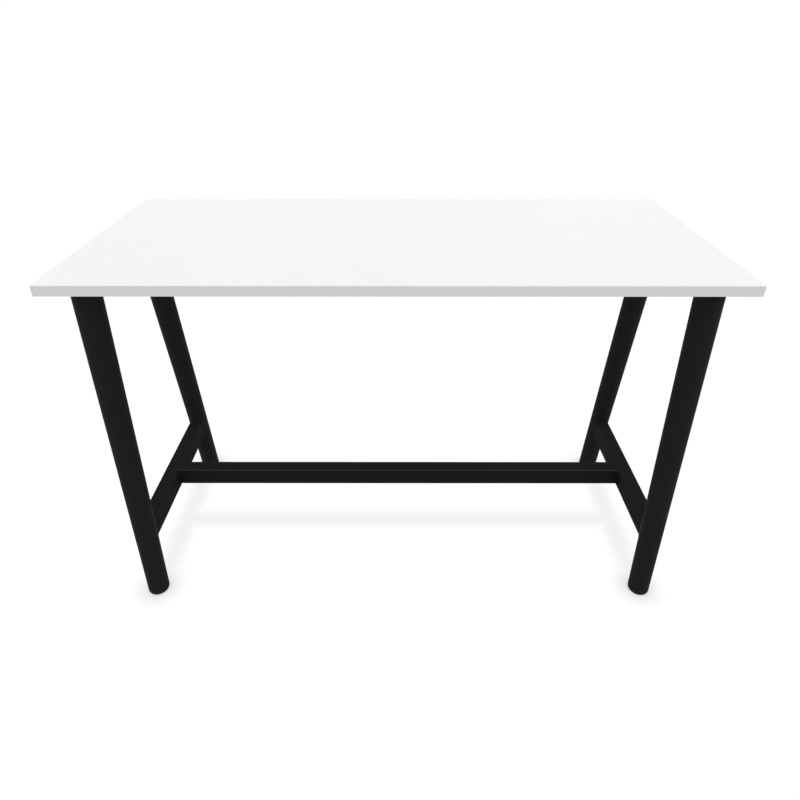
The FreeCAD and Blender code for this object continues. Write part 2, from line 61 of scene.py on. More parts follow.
# %% [markdown]
# The camera stands in front of the table, a little above the top, and looks down at it. The place, the
# tilt and the focal length were worked out from the four corners of the top and the marks that the feet
# leave on the floor. The optical axis meets the picture seven pixels above its middle, which a small
# vertical shift of the lens repeats.

# %% Camera
PICTURE_SIDE = 800
FOCAL_LENGTH_IN_PIXELS = 585.0
AXIS_ROW = 393.0
CAMERA_PLACE = (0.0059, -1.5374, 1.5486)
CAMERA_TILT_DOWN = math.radians(33.13)
CAMERA_SWING = 0.001

lens = bpy.data.cameras.new("table_camera")
lens.lens = lens.sensor_width * FOCAL_LENGTH_IN_PIXELS / PICTURE_SIDE
lens.shift_y = (AXIS_ROW - PICTURE_SIDE / 2) / PICTURE_SIDE
camera = bpy.data.objects.new("table_camera", lens)
camera.location = CAMERA_PLACE
camera.rotation_euler = (math.pi / 2 - CAMERA_TILT_DOWN, 0, CAMERA_SWING)
bpy.context.scene.collection.objects.link(camera)
bpy.context.scene.camera = camera
print("lens:", round(lens.lens, 2), "mm, shift:", lens.shift_y)

# %% [markdown]
# Every new piece here is a stack of rings of points: a turned foot, a thread, a weld bead and a plug all
# fit that pattern. So one helper is enough. It joins each ring to the next one with four-sided faces and
# closes the two ends with fans, or joins the last ring to the first where the stack runs in a loop. The
# signed volume of the shell tells whether its faces point outwards, and turns them round if they don't.

# %% From rings of points to a mesh


def shell(rings, looped=False):
    """Points and faces of a closed shell from rings, an array of (ring, place on the ring, xyz).

    Face (i, j) joins places j and j + 1 of the rings i and i + 1. Each end fans out to its ring's mean.
    Six times the signed volume is the sum over the triangles a, b, c of a . (b x c)."""
    count, around, _ = rings.shape
    here = np.arange(count * around).reshape(count, around)
    beside = np.roll(here, -1, axis=1)
    quads = np.stack([here, beside, np.roll(beside, -1, axis=0), np.roll(here, -1, axis=0)], axis=-1)
    quads = (quads if looped else quads[:-1]).reshape(-1, 4)
    points = rings.reshape(-1, 3)
    fans = np.empty((0, 3), int)
    if not looped:
        middles = np.repeat([[len(points)], [len(points) + 1]], around, axis=1)
        points = np.concatenate([points, rings[[0, -1]].mean(axis=1)])
        start = np.stack([beside[0], here[0], middles[0]], axis=-1)
        stop = np.stack([here[-1], beside[-1], middles[1]], axis=-1)
        fans = np.concatenate([start, stop])
    triangles = np.concatenate([quads[:, :3], quads[:, [0, 2, 3]], fans])
    a, b, c = (points[triangles[:, corner]] - points.mean(axis=0) for corner in range(3))
    if np.einsum("ij,ij->", a, np.cross(b, c)) < 0:
        quads, fans = quads[:, ::-1], fans[:, ::-1]
    return points, quads, fans


def join(shells):
    """Several shells as one: their points, and their faces counted on from shell to shell."""
    points, quads, fans = zip(*shells)
    starts = np.cumsum([0] + [len(part) for part in points])
    quads = np.concatenate([part + start for part, start in zip(quads, starts)])
    fans = np.concatenate([part + start for part, start in zip(fans, starts)])
    return np.concatenate(points), quads.tolist() + fans.tolist()


# %% [markdown]
# A finished piece is smooth shaded, so that rings of short faces look round. Edges that turn by more than
# a crease angle stay sharp. The piece rides on one body of the frame, takes the finish of its slot, and
# may stand for a plainer piece of the frame, which is then hidden.

# %% From a mesh to a piece
CREASE = math.radians(35)
finishes = {}


def make_piece(name, shells, slot, body="table", stands_for=None):
    """An object of closed shells in the finish of a slot, which moves with a body."""
    points, faces = join(shells)
    mesh = bpy.data.meshes.new(name)
    mesh.from_pydata(points.tolist(), [], faces)
    mesh.polygons.foreach_set("use_smooth", np.ones(len(mesh.polygons), bool))
    mesh.set_sharp_from_angle(angle=CREASE)
    mesh.materials.append(finishes[slot])
    piece = bpy.data.objects.new(name, mesh)
    bpy.context.scene.collection.objects.link(piece)
    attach(piece, body)
    if stands_for:
        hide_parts(stands_for)
    print(name, len(mesh.vertices), "points,", len(shells), "shells")


# %% [markdown]
# Each finish is a small tree of shader nodes on the piece's own coordinates, in metres, so that a grain
# of half a millimetre is half a millimetre on every piece. A few helpers cover them all: soft noise of
# a given size, ways to spread it between two numbers or two colours, a bump of a given depth, and a sum.

# %% Helpers for the finishes


def new_finish(name):
    """An empty material with its shader and its object coordinates."""
    material = bpy.data.materials.new(name)
    material.use_nodes = True
    tree = material.node_tree
    place = tree.nodes.new("ShaderNodeTexCoord").outputs["Object"]
    return material, tree, tree.nodes["Principled BSDF"], place


def grain(tree, place, size, detail=2.0, stretch=(1, 1, 1)):
    """Soft noise with lumps about size metres across, longer where stretch is under one."""
    mapping = tree.nodes.new("ShaderNodeMapping")
    mapping.inputs["Scale"].default_value = stretch
    tree.links.new(place, mapping.inputs["Vector"])
    noise = tree.nodes.new("ShaderNodeTexNoise")
    noise.inputs["Scale"].default_value = 1 / size
    noise.inputs["Detail"].default_value = detail
    tree.links.new(mapping.outputs["Vector"], noise.inputs["Vector"])
    return noise.outputs["Fac"]


def spread(tree, value, low, high, start=0.3, stop=0.7, kind="LINEAR"):
    """A value from start to stop drawn out to reach from low to high. Noise stays near its middle."""
    drawn = tree.nodes.new("ShaderNodeMapRange")
    drawn.interpolation_type = kind
    drawn.inputs["From Min"].default_value = start
    drawn.inputs["From Max"].default_value = stop
    drawn.inputs["To Min"].default_value = low
    drawn.inputs["To Max"].default_value = high
    tree.links.new(value, drawn.inputs["Value"])
    return drawn.outputs["Result"]


def tint(tree, value, first, second):
    """A colour between two, by a value from 0 to 1. The first may be an output."""
    mix = tree.nodes.new("ShaderNodeMix")
    mix.data_type = "RGBA"
    if isinstance(first, tuple):
        mix.inputs["A"].default_value = (*first, 1)
    else:
        tree.links.new(first, mix.inputs["A"])
    mix.inputs["B"].default_value = (*second, 1)
    tree.links.new(value, mix.inputs["Factor"])
    return mix.outputs["Result"]


def relief(tree, shader, *layers):
    """Bumps laid over each other: each layer is a value and its depth in metres."""
    normal = None
    for value, depth in layers:
        bump = tree.nodes.new("ShaderNodeBump")
        bump.inputs["Distance"].default_value = depth
        tree.links.new(value, bump.inputs["Height"])
        if normal:
            tree.links.new(normal, bump.inputs["Normal"])
        normal = bump.outputs["Normal"]
    tree.links.new(normal, shader.inputs["Normal"])


def calculate(tree, operation, first, second):
    """One sum on two values, each an output or a number."""
    node = tree.nodes.new("ShaderNodeMath")
    node.operation = operation
    for socket, value in zip(node.inputs, (first, second)):
        if isinstance(value, (int, float)):
            socket.default_value = value
        else:
            tree.links.new(value, socket)
    return node.outputs["Value"]


def dress(tree, shader, colour, roughness):
    """Colour and roughness given to a shader, each an output of the tree."""
    tree.links.new(colour, shader.inputs["Base Color"])
    tree.links.new(roughness, shader.inputs["Roughness"])


# %% [markdown]
# White laminate is melamine paper pressed against a steel plate with a fine pearl grain. The colour is
# nearly even, and what the eye reads is a satin sheen that breaks up at half a millimetre. Where the sheet
# ends against the edge band, a hairline of glue shows: it is drawn by how near a point is to the border. A
# photograph of laminate could be laid on the sheet, but noise in metres never repeats and needs no file.

# %% White laminate
GLUE_LINE = 0.3 * MM
PAPER_WHITE = (0.87, 0.87, 0.865)
GLUE_WHITE = (0.79, 0.785, 0.775)
WHITE_GLOSS = 0.35
laminate_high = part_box("top_laminate")[1]


def white_laminate():
    """Paper white, mixed with the glue's by the larger of a cloud and the border's hairline.

    The border is where |x| or |y| comes within a glue line of the sheet's half length or half depth."""
    material, tree, shader, place = new_finish("white_laminate")
    axes = tree.nodes.new("ShaderNodeSeparateXYZ")
    tree.links.new(place, axes.inputs["Vector"])
    borders = [
        calculate(tree, "GREATER_THAN", calculate(tree, "ABSOLUTE", axes.outputs[axis], 0), high - GLUE_LINE)
        for axis, high in (("X", laminate_high.x), ("Y", laminate_high.y))
    ]
    hairline = calculate(tree, "MULTIPLY", calculate(tree, "MAXIMUM", *borders), 0.9)
    cloud = spread(tree, grain(tree, place, 60 * MM, 3), 0, 0.1)
    colour = tint(tree, calculate(tree, "MAXIMUM", hairline, cloud), PAPER_WHITE, GLUE_WHITE)
    dress(tree, shader, colour, spread(tree, grain(tree, place, 35 * MM, 4), 0.44, 0.54))
    relief(tree, shader, (grain(tree, place, 0.6 * MM, 1), 0.02 * MM))
    shader.inputs["Specular IOR Level"].default_value = WHITE_GLOSS
    return material


finishes["white_laminate"] = white_laminate()
print("laminate reaches to", laminate_high.to_tuple(4))

# %% [markdown]
# The edge bands are extruded plastic, glued on and trimmed. The extruder leaves faint streaks along the
# band, so the noise is squeezed in height and left long in both level directions. That serves the bands of
# all four sides at once.

# %% White edging
EDGING_LIGHT = (0.81, 0.81, 0.805)
EDGING_DARK = (0.77, 0.77, 0.765)


def white_edging():
    """Two whites and two roughnesses mixed by streaks a hundred times as long as they are high."""
    material, tree, shader, place = new_finish("white_edging")
    streaks = grain(tree, place, 100 * MM, 3, stretch=(1, 1, 120))
    colour = tint(tree, spread(tree, streaks, 0, 1), EDGING_LIGHT, EDGING_DARK)
    dress(tree, shader, colour, spread(tree, streaks, 0.42, 0.52))
    relief(tree, shader, (streaks, 0.03 * MM), (grain(tree, place, 0.8 * MM, 1), 0.012 * MM))
    shader.inputs["Specular IOR Level"].default_value = WHITE_GLOSS
    return material


finishes["white_edging"] = white_edging()
print("finishes so far:", ", ".join(finishes))

# %% [markdown]
# Particle board shows only inside the screw holes under the top. Its chips are cells of about three
# millimetres, each with its own shade of brown. Layered noise would smear them into clouds, so a pattern of
# cells is used, which gives every chip one even colour and a clear rim.

# %% Particle board
CHIP = 3 * MM
DARK_CHIP = (0.36, 0.22, 0.1)
PALE_CHIP = (0.66, 0.48, 0.28)


def particle_board():
    """Cells one chip across, each with one brown between the two, and a dent towards each cell's rim."""
    material, tree, shader, place = new_finish("particle_board")
    chips = tree.nodes.new("ShaderNodeTexVoronoi")
    chips.inputs["Scale"].default_value = 1 / CHIP
    tree.links.new(place, chips.inputs["Vector"])
    lightness = tree.nodes.new("ShaderNodeSeparateColor")
    tree.links.new(chips.outputs["Color"], lightness.inputs["Color"])
    colour = tint(tree, lightness.outputs["Red"], DARK_CHIP, PALE_CHIP)
    dress(tree, shader, colour, spread(tree, grain(tree, place, 2 * MM), 0.75, 0.9))
    relief(tree, shader, (chips.outputs["Distance"], 0.15 * MM))
    return material


finishes["particle_board"] = particle_board()
print("finishes so far:", ", ".join(finishes))

# %% [markdown]
# Black powder coat is plastic dust baked on to the steel. It levels out before it sets, and leaves a soft
# orange peel of one to two millimetres with a finer grit on it. The coat is deep black and nearly matt. On
# the square tubes the round corners are painted a lighter grey: a painted highlight where light catches them,
# faint on the rails and strongest along the stretcher. The flats of those tubes all look along an axis, so a
# corner is where no part of the normal is close to one. A bevel node also finds edges, but it misses the
# middle of a round corner.

# %% Black powder coat
COAT_BLACK = (0.0155, 0.0155, 0.0155)
TUBE_BLACK = (0.0138, 0.0138, 0.0138)
CLOUD_GREY = (0.034, 0.034, 0.034)
# Greys of a painted highlight on the square tubes' round corners; the stretcher's is the strongest.
TUBE_CORNER_HIGHLIGHT = (0.03, 0.03, 0.03)
STRETCHER_CORNER_HIGHLIGHT = (0.068, 0.068, 0.068)
SQUARE_TUBES = ("foot_rail", "crossbar", "beam")


def highlight_on_corners(tree):
    """Where the painted highlight goes: one where the surface looks half way between two axes, and nought
    where it looks along one.
    """
    normal = tree.nodes.new("ShaderNodeTexCoord").outputs["Normal"]
    axes = tree.nodes.new("ShaderNodeSeparateXYZ")
    tree.links.new(normal, axes.inputs["Vector"])
    along = [calculate(tree, "ABSOLUTE", axes.outputs[axis], 0) for axis in "XYZ"]
    largest = calculate(tree, "MAXIMUM", calculate(tree, "MAXIMUM", along[0], along[1]), along[2])
    return spread(tree, largest, 1, 0, start=0.8, stop=0.98)


def powder_coat(name, black, gloss, corner_highlight=None):
    """Black mixed with a grey by a tenth of a cloud, and then with a painted highlight's lighter grey where
    the surface is a round corner. Peel and grit are two bumps."""
    material, tree, shader, place = new_finish(name)
    peel = grain(tree, place, 1.6 * MM, 1)
    grit = grain(tree, place, 0.4 * MM, 1)
    cloud = spread(tree, grain(tree, place, 25 * MM, 3), 0, 1)
    colour = tint(tree, calculate(tree, "MULTIPLY", cloud, 0.1), black, CLOUD_GREY)
    # Painted highlight: the round corners are mixed towards a lighter grey.
    if corner_highlight:
        colour = tint(tree, highlight_on_corners(tree), colour, corner_highlight)
    dress(tree, shader, colour, spread(tree, cloud, 0.54, 0.62))
    relief(tree, shader, (peel, 0.05 * MM), (grit, 0.015 * MM))
    shader.inputs["Specular IOR Level"].default_value = gloss
    return material


finishes["black_powder_coat"] = powder_coat("black_powder_coat", COAT_BLACK, 0.015)
# Two coats with a painted highlight on their round corners: one for the tubes, a stronger one for the
# stretcher.
for name, corner_highlight in (("black_tube_coat_painted_highlight", TUBE_CORNER_HIGHLIGHT), ("black_stretcher_coat_painted_highlight", STRETCHER_CORNER_HIGHLIGHT)):
    finishes[name] = powder_coat(name, TUBE_BLACK, 0.006, corner_highlight)
print("finishes so far:", ", ".join(finishes))

# %% [markdown]
# The small parts have four more finishes: blackened steel on the bolts that show, bright zinc on the
# hidden fasteners, a moulded black plastic with a spark-eroded grain, and black nylon under the feet. The
# two steels differ only in shade, sheen and the size of their clouds, and so do the two plastics. So there
# is one function for each pair.

# %% Finishes of the small parts


def small_steel(name, dark, light, metal, cloud_size, smooth, rough):
    """Steel between two shades, whose roughness follows the same cloud, with a fine drawn grain."""
    material, tree, shader, place = new_finish(name)
    cloud = grain(tree, place, cloud_size, 4)
    colour = tint(tree, spread(tree, cloud, 0, 1), dark, light)
    dress(tree, shader, colour, spread(tree, cloud, smooth, rough))
    relief(tree, shader, (grain(tree, place, 0.5 * MM), 0.01 * MM))
    shader.inputs["Metallic"].default_value = metal
    return material


def moulded_plastic(name, dark, light, rough):
    """Plastic between two shades, a little smoother or rougher by the same cloud, with an eroded grain."""
    material, tree, shader, place = new_finish(name)
    cloud = spread(tree, grain(tree, place, 6 * MM, 3), 0, 1)
    dress(tree, shader, tint(tree, cloud, dark, light), spread(tree, cloud, rough - 0.05, rough + 0.05))
    relief(tree, shader, (grain(tree, place, 0.35 * MM, 1), 0.02 * MM))
    shader.inputs["Specular IOR Level"].default_value = 0.25
    return material


for name, dark, light, metal, cloud_size, smooth, rough in (
    ("black_steel", (0.012, 0.012, 0.014), (0.03, 0.03, 0.033), 0.6, 4 * MM, 0.3, 0.48),
    ("zinc_steel", (0.5, 0.52, 0.56), (0.68, 0.69, 0.71), 1.0, 3 * MM, 0.28, 0.45),
):
    finishes[name] = small_steel(name, dark, light, metal, cloud_size, smooth, rough)
for name, dark, light, rough in (
    ("black_plastic", (0.009, 0.009, 0.009), (0.013, 0.013, 0.013), 0.6),
    ("black_nylon", (0.014, 0.014, 0.0145), (0.02, 0.02, 0.021), 0.5),
):
    finishes[name] = moulded_plastic(name, dark, light, rough)
print("all finishes:", ", ".join(finishes))

# %% [markdown]
# Every piece of the frame keeps its mesh and gets the finish of its slot. Only the square tubes take the
# coats with a painted highlight on their round corners, and the stretcher takes the strongest one. They could
# be listed by name, but the ends of their names are enough.

# %% Give the frame its finishes
for row in frame["record"]["subparts"]:
    finish = "black_tube_coat_painted_highlight" if row["node"].endswith(SQUARE_TUBES) else row["material_slot"]
    nodes[row["node"]].material_slots[0].material = finishes[finish]
# The stretcher takes the coat with the strongest painted highlight on its corners.
nodes["stretcher"].material_slots[0].material = finishes["black_stretcher_coat_painted_highlight"]

# %% [markdown]
# The legs are cones whose axes lean, so a level cut through one is nearly an ellipse. Its centre and its
# half width change evenly with height. Two rims of the measured leg give both, and everything that is
# welded to a leg is then placed by the same formula.

# %% Measure the legs
RIM_BAND = 0.01 * MM


def node_points(name):
    """All points of a node's mesh, as an array."""
    mesh = nodes[name].data
    points = np.empty(len(mesh.vertices) * 3)
    mesh.vertices.foreach_get("co", points)
    return points.reshape(-1, 3)


def measure_leg(end, side):
    """Centres, half widths and slopes of a leg, from its lowest and its highest rim."""
    points = node_points(f"{end}_{side}_leg")
    heights = points[:, 2]
    foot = points[heights < heights.min() + RIM_BAND]
    head = points[heights > heights.max() - RIM_BAND]
    low, high = ((rim.min(axis=0) + rim.max(axis=0)) / 2 for rim in (foot, head))
    rise = high[2] - low[2]
    half_low, half_high = (np.ptp(rim[:, 0]) / 2 for rim in (foot, head))
    return {
        "foot": low,
        "head": high,
        "half_width": half_low,
        "lean": (high[1] - low[1]) / rise,
        "taper": (half_high - half_low) / rise,
    }


def leg_section(leg, height):
    """Centre y, half width in x and half depth in y of a leg's level section at some heights.

    Centre and half width are straight lines in height. The lean makes the section deeper than it is
    wide by the square root of one plus the lean squared."""
    up = height - leg["foot"][2]
    half_width = leg["half_width"] + leg["taper"] * up
    return leg["foot"][1] + leg["lean"] * up, half_width, half_width * math.sqrt(1 + leg["lean"] ** 2)


legs = {corner: measure_leg(*corner) for corner in CORNERS}
for corner, leg in legs.items():
    print(*corner, "leg at", leg["foot"].round(4), "lean", round(leg["lean"], 4))

# %% [markdown]
# A leg is a tapered steel tube, cut level at both ends. The measured one is made of flat facets, which show
# as upright lines on a dark satin surface. So it is drawn again from the same formula with finer steps: up
# the outside, over the rim, and down the inside.

# %% Smooth legs
LEG_WALL = 2.5 * MM
LEG_RIM_EDGE = 0.4 * MM
LEG_STEPS = 192


def leg_tube(leg):
    """Rings of a leaning tapered tube. The ring at height z is x = a cos t, y = centre + b sin t with the
    half width a and half depth b of the leg's section there, less an inset of up to the wall."""
    low, high = leg["foot"][2], leg["head"][2]
    outside = [(low, LEG_RIM_EDGE), (low + LEG_RIM_EDGE, 0), (high, 0)]
    inside = [(high, LEG_WALL), (low, LEG_WALL)]
    height, inset = np.array(outside + inside).T
    turn = np.linspace(0, 2 * np.pi, LEG_STEPS, endpoint=False)
    centre, half_width, half_depth = leg_section(leg, height)
    across = leg["foot"][0] + (half_width - inset)[:, None] * np.cos(turn)
    along = centre[:, None] + (half_depth - inset)[:, None] * np.sin(turn)
    return np.stack([across, along, np.repeat(height[:, None], LEG_STEPS, axis=1)], axis=-1)


for (end, side), leg in legs.items():
    tube = shell(leg_tube(leg), looped=True)
    make_piece(f"{end}_{side}_leg_tube", [tube], "black_powder_coat", stands_for=f"{end}_{side}_leg")

# %% [markdown]
# The steel parts are arc welded. A weld bead fills the corner between two faces: a slightly rounded strip
# with curved ripples, one for each small step of the torch. It is a profile carried along the seam. A round
# tube along the seam would be simpler, but it would bulge like a cord, so the profile has flat toes on both
# faces.

# %% Weld beads
RIPPLE_PITCH = 2.2 * MM
RIPPLE_DEPTH = 0.14 * MM
RIPPLE_LAG = 0.45
BEAD_STEP = 0.4 * MM
BEAD_FACE = np.linspace(0, 1, 8)


def unit(vectors):
    """Vectors of length one: each divided by its own length."""
    return vectors / np.linalg.norm(vectors, axis=-1, keepdims=True)


def even_path(points, step, looped=False):
    """Points at even steps along a polyline, by its running length."""
    line = np.concatenate([points, points[:1]]) if looped else points
    length = np.concatenate([[0], np.cumsum(np.linalg.norm(np.diff(line, axis=0), axis=1))])
    count = max(int(length[-1] / step), 8)
    places = np.linspace(0, length[-1], count, endpoint=not looped)
    return np.stack([np.interp(places, length, line[:, axis]) for axis in range(line.shape[1])], axis=-1)


def bead(path, first, second, outward, width, crown, looped):
    """Rings of a weld bead along a path.

    Across the bead s goes from 0 to 1: the face is the path moved by width times ((1 - s) first +
    s second), plus outward times 4 s (1 - s) times the crown and its ripple. The ripple is a cosine of the
    running length, which lags at the middle of the face. One more point sunk behind the path closes the
    section, and open ends are drawn in over two widths."""
    steps = np.linalg.norm(np.roll(path, -1, axis=0) - path, axis=1)
    length = np.concatenate([[0], np.cumsum(steps[:-1])])
    total = length[-1] + (steps[-1] if looped else 0)
    ripples = max(round(total / RIPPLE_PITCH), 1)
    hump = 4 * BEAD_FACE * (1 - BEAD_FACE)
    phase = 2 * np.pi * (length[:, None] * ripples / total - RIPPLE_LAG * hump)
    taper = np.ones(len(path))
    if not looped:
        taper = np.sqrt(np.clip(np.minimum(length, total - length) / (2 * width), 0.03, 1))
    rise = hump * (crown + RIPPLE_DEPTH * np.cos(phase)) * taper[:, None]
    wide = width * taper[:, None, None]
    across = (1 - BEAD_FACE)[None, :, None] * first[:, None] + BEAD_FACE[None, :, None] * second[:, None]
    face = path[:, None] + wide * across + rise[..., None] * outward[:, None]
    root = path[:, None] - 0.25 * wide * outward[:, None]
    return np.concatenate([face, root], axis=1)


# %% [markdown]
# A foot rail ends against two legs. Its outline, a rectangle with round corners, is carried along the rail
# until it meets the cone: that gives the seam. One toe of the bead lies on the rail, the other on the leg,
# square to the seam.

# %% Welds between foot rails and legs
RAIL_CORNER = 2.5 * MM
RAIL_BEAD = 4.2 * MM
RAIL_CROWN = 0.6 * MM
CORNER_STEPS = 12


def round_rectangle(width, height, corner, step):
    """Places around a rectangle with round corners, anticlockwise from its right side, at even steps.

    Each corner is a quarter circle about a point that lies a corner radius inside both sides."""
    angles = np.linspace(0, np.pi / 2, CORNER_STEPS)
    quarters = np.arange(4)[:, None] * np.pi / 2 + angles
    middles = np.array([[1, 1], [-1, 1], [-1, -1], [1, -1]]) * (np.array([width, height]) / 2 - corner)
    outline = middles[:, None] + corner * np.stack([np.cos(quarters), np.sin(quarters)], axis=-1)
    return even_path(outline.reshape(-1, 2), step, looped=True)


def slope_along(path):
    """Unit direction along a closed path, from the places before and after each."""
    return unit(np.roll(path, -1, axis=0) - np.roll(path, 1, axis=0))


def rail_weld(end, side):
    """The seam is the rail's outline set on the leg: y = centre - end * half depth * sqrt(1 - (x / a)^2)."""
    leg = legs[end, side]
    low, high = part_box(f"{side}_foot_rail")
    outline = round_rectangle(high.x - low.x, high.z - low.z, RAIL_CORNER, BEAD_STEP)
    x = outline[:, 0]
    z = outline[:, 1] + (low.z + high.z) / 2
    centre, half_width, half_depth = leg_section(leg, z)
    reach = -ENDS[end] * half_depth * np.sqrt(1 - (x / half_width) ** 2)
    path = np.stack([x + leg["foot"][0], centre + reach, z], axis=-1)
    slope_z = -reach * leg["lean"] / half_depth**2 - leg["taper"] / half_width
    outwards = unit(np.stack([x / half_width**2, reach / half_depth**2, slope_z], axis=-1))
    on_leg = np.cross(outwards, slope_along(path))
    away = np.stack([outline[:, 0], np.zeros_like(x), outline[:, 1]], axis=-1)
    on_leg *= np.sign(np.einsum("ij,ij->i", on_leg, away))[:, None]
    on_rail = np.broadcast_to([0, -ENDS[end], 0], path.shape)
    outward = unit(on_rail + on_leg)
    return shell(bead(path, on_rail, on_leg, outward, RAIL_BEAD, RAIL_CROWN, True), looped=True)


for end, side in CORNERS:
    make_piece(f"{end}_{side}_rail_weld", [rail_weld(end, side)], "black_powder_coat")

# %% [markdown]
# Each leg's head is closed by a cap, and the crossbar stands on it. The cap's seam is ground nearly flush,
# so its bead is only a low band round the cone. Two short beads hold the crossbar where the cap looks out
# beside it.

# %% Welds at the legs' heads
CAP_BEAD = 2.4 * MM
CAP_CROWN = 0.4 * MM
CROSSBAR_BEAD = 4.0 * MM
CROSSBAR_CROWN = 0.5 * MM
CROSSBAR_BEAD_LENGTH = 24 * MM
CROSSBAR_ROOT_INSET = 1 * MM


def cap_weld(end, side):
    """A ring on the cone at the cap's lower face: an ellipse, with toes up and down the leg."""
    leg = legs[end, side]
    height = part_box(f"{end}_{side}_leg_cap")[0].z
    centre, half_width, half_depth = leg_section(leg, height)
    turn = np.linspace(0, 2 * np.pi, int(2 * np.pi * half_width / BEAD_STEP), endpoint=False)
    ellipse = np.stack([half_width * np.cos(turn), half_depth * np.sin(turn), np.zeros_like(turn)], axis=-1)
    path = ellipse + [leg["foot"][0], centre, height]
    outwards = unit(ellipse)
    lean_x, lean_y = leg["taper"] * np.cos(turn), leg["lean"] + leg["taper"] * np.sin(turn)
    up_leg = unit(np.stack([lean_x, lean_y, np.ones_like(turn)], axis=-1))
    return shell(bead(path, up_leg, -up_leg, outwards, CAP_BEAD, CAP_CROWN, True), looped=True)


def crossbar_welds(end, side):
    """Two straight beads along the crossbar's lower arrises, on the cap's level top."""
    leg = legs[end, side]
    low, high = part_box(f"{side}_crossbar")
    centre = leg_section(leg, low.z)[0]
    along = np.linspace(-0.5, 0.5, int(CROSSBAR_BEAD_LENGTH / BEAD_STEP)) * CROSSBAR_BEAD_LENGTH
    shells = []
    for sign, edge in ((-1, low.x), (1, high.x)):
        root = edge - sign * CROSSBAR_ROOT_INSET
        path = np.stack([np.full_like(along, root), centre + along, np.full_like(along, low.z)], axis=-1)
        up = np.broadcast_to([0.0, 0.0, 1.0], path.shape)
        out = np.broadcast_to([float(sign), 0.0, 0.0], path.shape)
        shells.append(shell(bead(path, up, out, unit(up + out), CROSSBAR_BEAD, CROSSBAR_CROWN, False)))
    return shells


for end, side in CORNERS:
    shells = [cap_weld(end, side), *crossbar_welds(end, side)]
    make_piece(f"{end}_{side}_head_welds", shells, "black_powder_coat")

# %% [markdown]
# Each beam has a bolting plate on both ends. The beam lies against the top, so the torch reaches only its
# two sides and its lower face, and the bead runs down, along and up again. The outline is the same kind of
# rectangle as the rail's, cut off where the top is too near.

# %% Welds between beams and plates
BEAM_CORNER = 3 * MM
BEAM_BEAD = 3.6 * MM
BEAM_CROWN = 0.5 * MM


def beam_weld(end, side):
    """The part of the beam's outline that lies clear of the top, with toes on the beam and on its plate."""
    low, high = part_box(f"{end}_beam")
    outline = round_rectangle(high.y - low.y, high.z - low.z, BEAM_CORNER, BEAD_STEP)
    turn = np.arctan2(outline[:, 1], outline[:, 0])
    ordered = outline[np.argsort(np.mod(turn - np.pi / 2, 2 * np.pi))]
    seam = ordered[ordered[:, 1] < (high.z - low.z) / 2 - BEAM_BEAD]
    flat = unit(np.gradient(seam, axis=0))
    face_x = SIDES[side] * high.x
    middle = (low + high) / 2
    path = np.stack([np.full(len(seam), face_x), middle.y + seam[:, 0], middle.z + seam[:, 1]], axis=-1)
    on_plate = np.stack([np.zeros(len(seam)), flat[:, 1], -flat[:, 0]], axis=-1)
    on_beam = np.broadcast_to([-float(SIDES[side]), 0.0, 0.0], path.shape)
    return shell(bead(path, on_beam, on_plate, unit(on_beam + on_plate), BEAM_BEAD, BEAM_CROWN, False))


for end in ENDS:
    make_piece(f"{end}_beam_welds", [beam_weld(end, side) for side in SIDES], "black_powder_coat")

# %% [markdown]
# The levelling glides are what a person turns to stop the table from rocking. Stud, base and sole are
# turned shapes: a profile of radius and height, carried round an upright axis. Blender could spin a drawn
# profile, but a formula also lets the radius change with the angle, for a thread or for flutes.

# %% Turned shapes
ROUND_STEPS = 96
FLUTES_IN_STEPS = 12
EDGE_BREAK = 0.3 * MM


def turned(profile, axis_place, flutes=0, flute_depth=None):
    """Rings of a turned shape: x = r cos a, y = r sin a for each r, z of the profile, about an axis.

    With flutes, a raised cosine of that many waves round the axis, times a depth for each point of the
    profile, is taken from r."""
    angle = np.linspace(0, 2 * np.pi, ROUND_STEPS * max(1, flutes // FLUTES_IN_STEPS), endpoint=False)
    radius = np.repeat(profile[:, :1], len(angle), axis=1)
    if flutes:
        radius = radius - flute_depth[:, None] * (0.5 + 0.5 * np.cos(flutes * angle))
    height = np.repeat(profile[:, 1:], len(angle), axis=1)
    return np.stack([radius * np.cos(angle), radius * np.sin(angle), height], axis=-1) + [*axis_place, 0]


def arc(centre, radius, start, stop, steps=7):
    """Places on a circle about a centre of radius and height, between two angles in degrees."""
    angle = np.radians(np.linspace(start, stop, steps))
    return np.array(centre) + radius * np.stack([np.cos(angle), np.sin(angle)], axis=-1)


def axis_of(node):
    """The middle of a node, seen from above."""
    low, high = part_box(node)
    return (low.x + high.x) / 2, (low.y + high.y) / 2


for end, side in CORNERS:
    print(end, side, "glide's axis:", np.round(axis_of(f"{end}_{side}_glide_stud"), 4))

# %% [markdown]
# The stud is a bright zinc thread of ten millimetres, which screws into the nut on the foot plate. In the
# measured part it is a plain cylinder. A thread could be drawn as a coil laid round a rod, but then two
# shapes would cut each other. Here the rod's own radius follows the thread, as if a tool had cut it.

# %% Threaded studs
THREAD_PITCH = 1.5 * MM
THREAD_DEPTH = 0.92 * MM
STEPS_PER_TURN = 10
STUD_CHAMFER = 1 * MM
GROOVE_REACH = 1.35
GROOVE_SLOPE = 3.6


